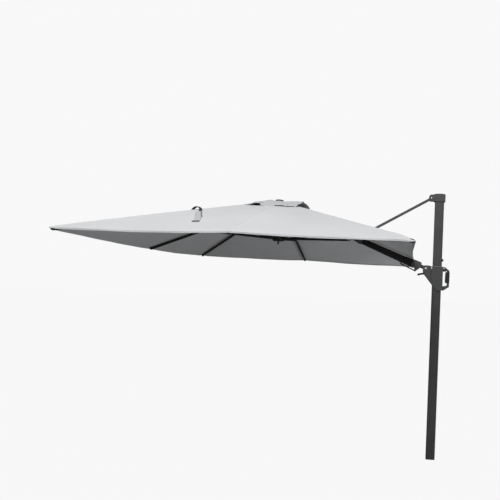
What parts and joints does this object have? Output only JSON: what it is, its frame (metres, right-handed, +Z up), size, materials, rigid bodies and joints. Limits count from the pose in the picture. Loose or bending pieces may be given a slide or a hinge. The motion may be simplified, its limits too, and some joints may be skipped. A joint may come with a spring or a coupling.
{
  "type": "cantilever parasol",
  "caption": "Square cantilever parasol on a side mast: a sliding carriage pitches the boom and folds the ribbed canopy, with a strut, lateral roll and levers.",
  "frame": {"origin": "centre of the mast's bottom end", "axes": "+Z up along the mast, -X along the boom towards the canopy, +Y to the far side"},
  "size_m": [3.4571, 3.0116, 2.896],
  "materials": {
    "anthracite_coat": "anthracite powder coat, fine texture",
    "black_metal": "black powder coat",
    "anthracite_casting": "cast aluminium, powder coated anthracite",
    "black_plastic": "textured black plastic",
    "grey_plastic": "smooth grey plastic",
    "bright_steel": "bright zinc-plated steel",
    "canopy_fabric": "light grey woven polyester"
  },
  "bodies": {
    "mast": {"mast_tube": "anthracite_coat", "mast_foot": "black_plastic", "mast_cap": "anthracite_casting", "strut_pin_head_near": "bright_steel", "strut_pin_head_far": "bright_steel", "mast_stop": "black_plastic"},
    "carriage": {"carriage_shell_near": "anthracite_casting", "carriage_shell_far": "anthracite_casting", "glide_liner_upper": "grey_plastic", "glide_liner_lower": "grey_plastic", "root_pin": "bright_steel", "shell_bolt_front": "bright_steel", "shell_bolt_rear": "bright_steel", "handle_frame": "anthracite_casting", "handle_grip": "black_plastic"},
    "release_trigger": {"release_trigger": "grey_plastic"},
    "front_lever": {"tilt_lever": "black_plastic"},
    "knuckle": {"knuckle": "anthracite_casting", "boom_collar": "anthracite_casting", "strut_lower_pin": "bright_steel"},
    "roll_bail": {"roll_bail": "black_metal"},
    "boom": {"boom_tube": "black_metal", "boom_root": "black_metal", "bearing_ring": "grey_plastic", "boom_fork": "anthracite_casting", "stretcher_bracket": "anthracite_casting", "bracket_pin": "bright_steel", "canopy_gore_R": "canopy_fabric"},
    "strut": {"strut_tube": "anthracite_coat", "strut_lower_end": "anthracite_casting", "strut_upper_end": "anthracite_casting", "strut_top_pin": "bright_steel"},
    "crown": {"crown_hub": "anthracite_casting", "crown_pin": "bright_steel", "finial": "black_plastic", "vent_flap": "canopy_fabric"},
    "runner": {"runner_hub": "black_plastic", "runner_knob": "black_plastic"},
    "stretcher_R": {"stretcher_R": "black_metal"},
    "rib_A": {"rib_A": "black_metal", "canopy_gore_A": "canopy_fabric"},
    "stretcher_A": {"stretcher_A": "black_metal"},
    "rib_B": {"rib_B": "black_metal", "canopy_gore_B": "canopy_fabric"},
    "stretcher_B": {"stretcher_B": "black_metal"},
    "rib_C": {"rib_C": "black_metal", "canopy_gore_C": "canopy_fabric"},
    "stretcher_C": {"stretcher_C": "black_metal"},
    "rib_D": {"rib_D": "black_metal", "canopy_gore_D": "canopy_fabric"},
    "stretcher_D": {"stretcher_D": "black_metal"},
    "rib_N": {"rib_N": "black_metal", "canopy_gore_N": "canopy_fabric"},
    "stretcher_N": {"stretcher_N": "black_metal"},
    "rib_F": {"rib_F": "black_metal", "canopy_gore_F": "canopy_fabric"},
    "stretcher_F": {"stretcher_F": "black_metal"},
    "rib_L": {"rib_L": "black_metal", "canopy_gore_L": "canopy_fabric"},
    "stretcher_L": {"stretcher_L": "black_metal"}
  },
  "joints": [
    {"name": "carriage_slide", "type": "slide", "parent": "mast", "child": "carriage", "axis": [0, 0, 1], "range_m": [-0.8707, 0], "deforming": ["canopy_gore_R", "vent_flap"]},
    {"name": "boom_pitch", "type": "hinge", "parent": "carriage", "child": "knuckle", "pos_m": [-0.124, 0, 2.081], "axis": [0, 1, 0], "range_deg": [0, 66.8]},
    {"name": "boom_roll", "type": "hinge", "parent": "knuckle", "child": "boom", "pos_m": [-0.124, 0, 2.081], "axis": [-0.9288, 0, 0.3706], "range_deg": [-15, 15]},
    {"name": "strut_swing", "type": "hinge", "parent": "knuckle", "child": "strut", "pos_m": [-0.82995, 0, 2.42725], "axis": [0, 1, 0], "range_deg": [-127.42, 0]},
    {"name": "crown_level", "type": "hinge", "parent": "boom", "child": "crown", "pos_m": [-1.78, 0, 2.62863], "axis": [0, 1, 0], "range_deg": [-66.8, 0]},
    {"name": "runner_slide", "type": "slide", "parent": "crown", "child": "runner", "axis": [0, 0, 1], "range_m": [-1.309, 0]},
    {"name": "rib_A_fold", "type": "hinge", "parent": "crown", "child": "rib_A", "pos_m": [-1.82596, -0.04596, 2.73], "axis": [0.7071, -0.7071, 0], "range_deg": [0, 75.22], "deforming": ["canopy_gore_A"]},
    {"name": "rib_B_fold", "type": "hinge", "parent": "crown", "child": "rib_B", "pos_m": [-1.73404, -0.04596, 2.73], "axis": [0.7071, 0.7071, 0], "range_deg": [0, 74.67], "deforming": ["canopy_gore_B"]},
    {"name": "rib_C_fold", "type": "hinge", "parent": "crown", "child": "rib_C", "pos_m": [-1.73316, 0.04507, 2.73], "axis": [-0.6934, 0.7206, 0], "range_deg": [0, 74.22], "deforming": ["canopy_gore_C"]},
    {"name": "rib_D_fold", "type": "hinge", "parent": "crown", "child": "rib_D", "pos_m": [-1.8266, 0.04532, 2.73], "axis": [-0.6972, -0.7169, 0], "range_deg": [0, 75.76], "deforming": ["canopy_gore_D"]},
    {"name": "rib_N_fold", "type": "hinge", "parent": "crown", "child": "rib_N", "pos_m": [-1.78, -0.065, 2.73], "axis": [1, 0, 0], "range_deg": [0, 69.8], "deforming": ["canopy_gore_N"]},
    {"name": "rib_F_fold", "type": "hinge", "parent": "crown", "child": "rib_F", "pos_m": [-1.78, 0.065, 2.73], "axis": [-1, 0, 0], "range_deg": [0, 69.27], "deforming": ["canopy_gore_F"]},
    {"name": "rib_L_fold", "type": "hinge", "parent": "crown", "child": "rib_L", "pos_m": [-1.845, 0, 2.73], "axis": [0, -1, 0], "range_deg": [0, 68.64], "deforming": ["canopy_gore_L"]},
    {"name": "stretcher_A_turn", "type": "hinge", "parent": "rib_A", "child": "stretcher_A", "pos_m": [-2.3886, -0.63406, 2.52965], "axis": [0.7071, -0.7071, 0], "range_deg": [-151.96, 0]},
    {"name": "stretcher_B_turn", "type": "hinge", "parent": "rib_B", "child": "stretcher_B", "pos_m": [-1.14608, -0.60847, 2.52151], "axis": [0.7071, 0.7071, 0], "range_deg": [-151.95, 0]},
    {"name": "stretcher_C_turn", "type": "hinge", "parent": "rib_C", "child": "stretcher_C", "pos_m": [-1.15964, 0.62197, 2.51465], "axis": [-0.6934, 0.7206, 0], "range_deg": [-151.95, 0]},
    {"name": "stretcher_D_turn", "type": "hinge", "parent": "rib_D", "child": "stretcher_D", "pos_m": [-2.42258, 0.59977, 2.53781], "axis": [-0.6972, -0.7169, 0], "range_deg": [-151.96, 0]},
    {"name": "stretcher_N_turn", "type": "hinge", "parent": "rib_N", "child": "stretcher_N", "pos_m": [-1.762, -0.87323, 2.44782], "axis": [1, 0, 0], "range_deg": [-152, 0]},
    {"name": "stretcher_F_turn", "type": "hinge", "parent": "rib_F", "child": "stretcher_F", "pos_m": [-1.798, 0.87226, 2.43973], "axis": [-1, 0, 0], "range_deg": [-152.02, 0]},
    {"name": "stretcher_L_turn", "type": "hinge", "parent": "rib_L", "child": "stretcher_L", "pos_m": [-2.651, -0.018, 2.43007], "axis": [0, -1, 0], "range_deg": [-152.04, 0]},
    {"name": "stretcher_R_turn", "type": "hinge", "parent": "boom", "child": "stretcher_R", "pos_m": [-0.98291, 0, 2.36769], "axis": [0, 1, 0], "range_deg": [-154.75, 0]},
    {"name": "release_squeeze", "type": "hinge", "parent": "carriage", "child": "release_trigger", "pos_m": [0.095, 0, 1.934], "axis": [0, 1, 0], "range_deg": [0, 4.5], "stiffness_Nm_per_rad": 2},
    {"name": "front_lever_press", "type": "hinge", "parent": "carriage", "child": "front_lever", "pos_m": [-0.134, 0, 2.022], "axis": [0, 1, 0], "range_deg": [-18, 0], "stiffness_Nm_per_rad": 2},
    {"name": "roll_bail_squeeze", "type": "hinge", "parent": "knuckle", "child": "roll_bail", "pos_m": [-0.24282, 0, 2.05304], "axis": [0, 1, 0], "range_deg": [0, 3.5], "stiffness_Nm_per_rad": 2}
  ],
  "couplings": [
    {"joint": "boom_pitch", "follows": "carriage_slide", "rad_per_m": -1.338},
    {"joint": "strut_swing", "follows": "carriage_slide", "rad_per_m": 2.5531},
    {"joint": "crown_level", "follows": "carriage_slide", "rad_per_m": 1.338},
    {"joint": "runner_slide", "follows": "carriage_slide", "ratio": 1.5022},
    {"joint": "rib_A_fold", "follows": "carriage_slide", "rad_per_m": -1.5068},
    {"joint": "rib_B_fold", "follows": "carriage_slide", "rad_per_m": -1.4959},
    {"joint": "rib_C_fold", "follows": "carriage_slide", "rad_per_m": -1.4867},
    {"joint": "rib_D_fold", "follows": "carriage_slide", "rad_per_m": -1.5177},
    {"joint": "rib_N_fold", "follows": "carriage_slide", "rad_per_m": -1.3982},
    {"joint": "rib_F_fold", "follows": "carriage_slide", "rad_per_m": -1.3876},
    {"joint": "rib_L_fold", "follows": "carriage_slide", "rad_per_m": -1.3749},
    {"joint": "stretcher_A_turn", "follows": "carriage_slide", "rad_per_m": 3.045},
    {"joint": "stretcher_B_turn", "follows": "carriage_slide", "rad_per_m": 3.0448},
    {"joint": "stretcher_C_turn", "follows": "carriage_slide", "rad_per_m": 3.0448},
    {"joint": "stretcher_D_turn", "follows": "carriage_slide", "rad_per_m": 3.0451},
    {"joint": "stretcher_N_turn", "follows": "carriage_slide", "rad_per_m": 3.0459},
    {"joint": "stretcher_F_turn", "follows": "carriage_slide", "rad_per_m": 3.0463},
    {"joint": "stretcher_L_turn", "follows": "carriage_slide", "rad_per_m": 3.0467},
    {"joint": "stretcher_R_turn", "follows": "carriage_slide", "rad_per_m": 3.1009}
  ]
}
